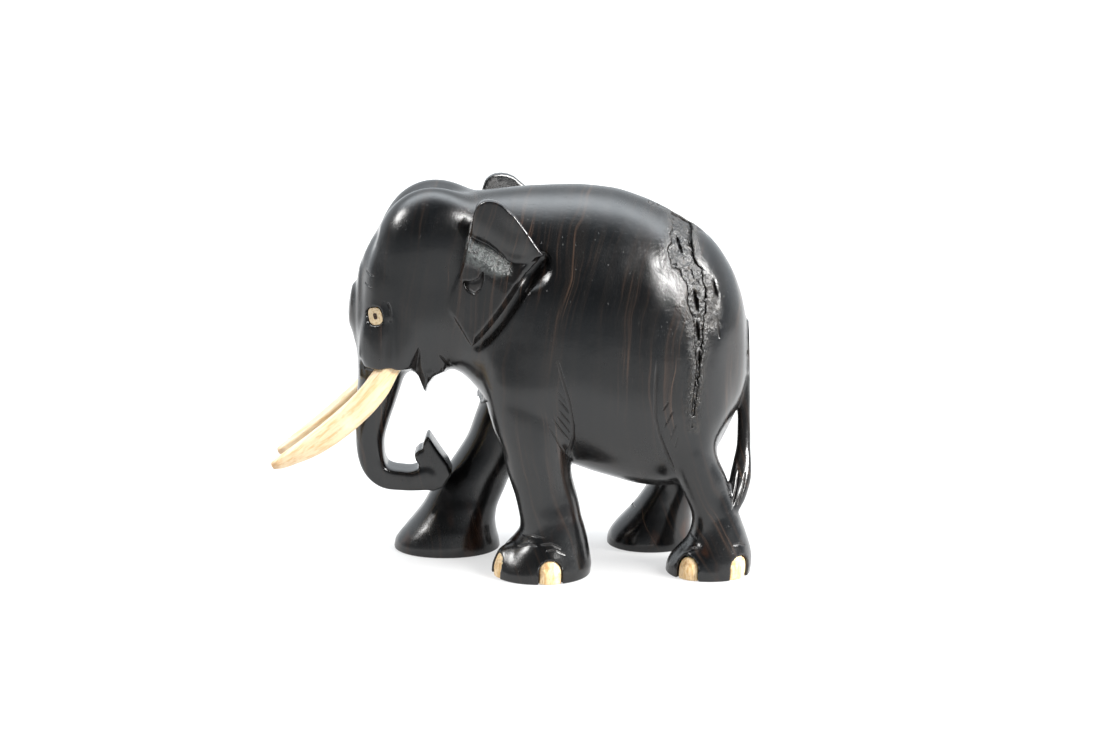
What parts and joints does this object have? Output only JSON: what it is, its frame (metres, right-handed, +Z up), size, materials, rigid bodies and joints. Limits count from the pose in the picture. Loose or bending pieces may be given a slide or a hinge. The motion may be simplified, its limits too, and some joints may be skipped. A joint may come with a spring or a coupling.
{
  "type": "carved elephant figurine",
  "caption": "Walking elephant carved from dark hardwood, with curved bone tusks, inlaid bone eyes and toenails, trunk curled in between the front legs.",
  "frame": {"origin": "middle of the outline, on the plane the four soles stand on", "axes": "+Z up, the head looks along -Y, the animal's left side is +X"},
  "size_m": [0.0584, 0.1388, 0.1104],
  "materials": {
    "ebony": "hand polished, satin to gloss",
    "bone": "polished bone with fine brown pores",
    "black_filler": "glossy black wax-resin filler, uneven"
  },
  "bodies": {
    "root": {"body": "ebony", "crack_repair_fill": "black_filler", "tusk_left": "bone", "tusk_right": "bone", "eye_left": "bone", "eye_right": "bone", "pupil_left": "ebony", "pupil_right": "ebony", "toenail_front_left_front": "bone", "toenail_front_left_side": "bone", "toenail_rear_left_front": "bone", "toenail_rear_left_side": "bone", "toenail_front_right_front": "bone", "toenail_front_right_side": "bone", "toenail_rear_right_front": "bone", "toenail_rear_right_side": "bone"}
  },
  "joints": []
}
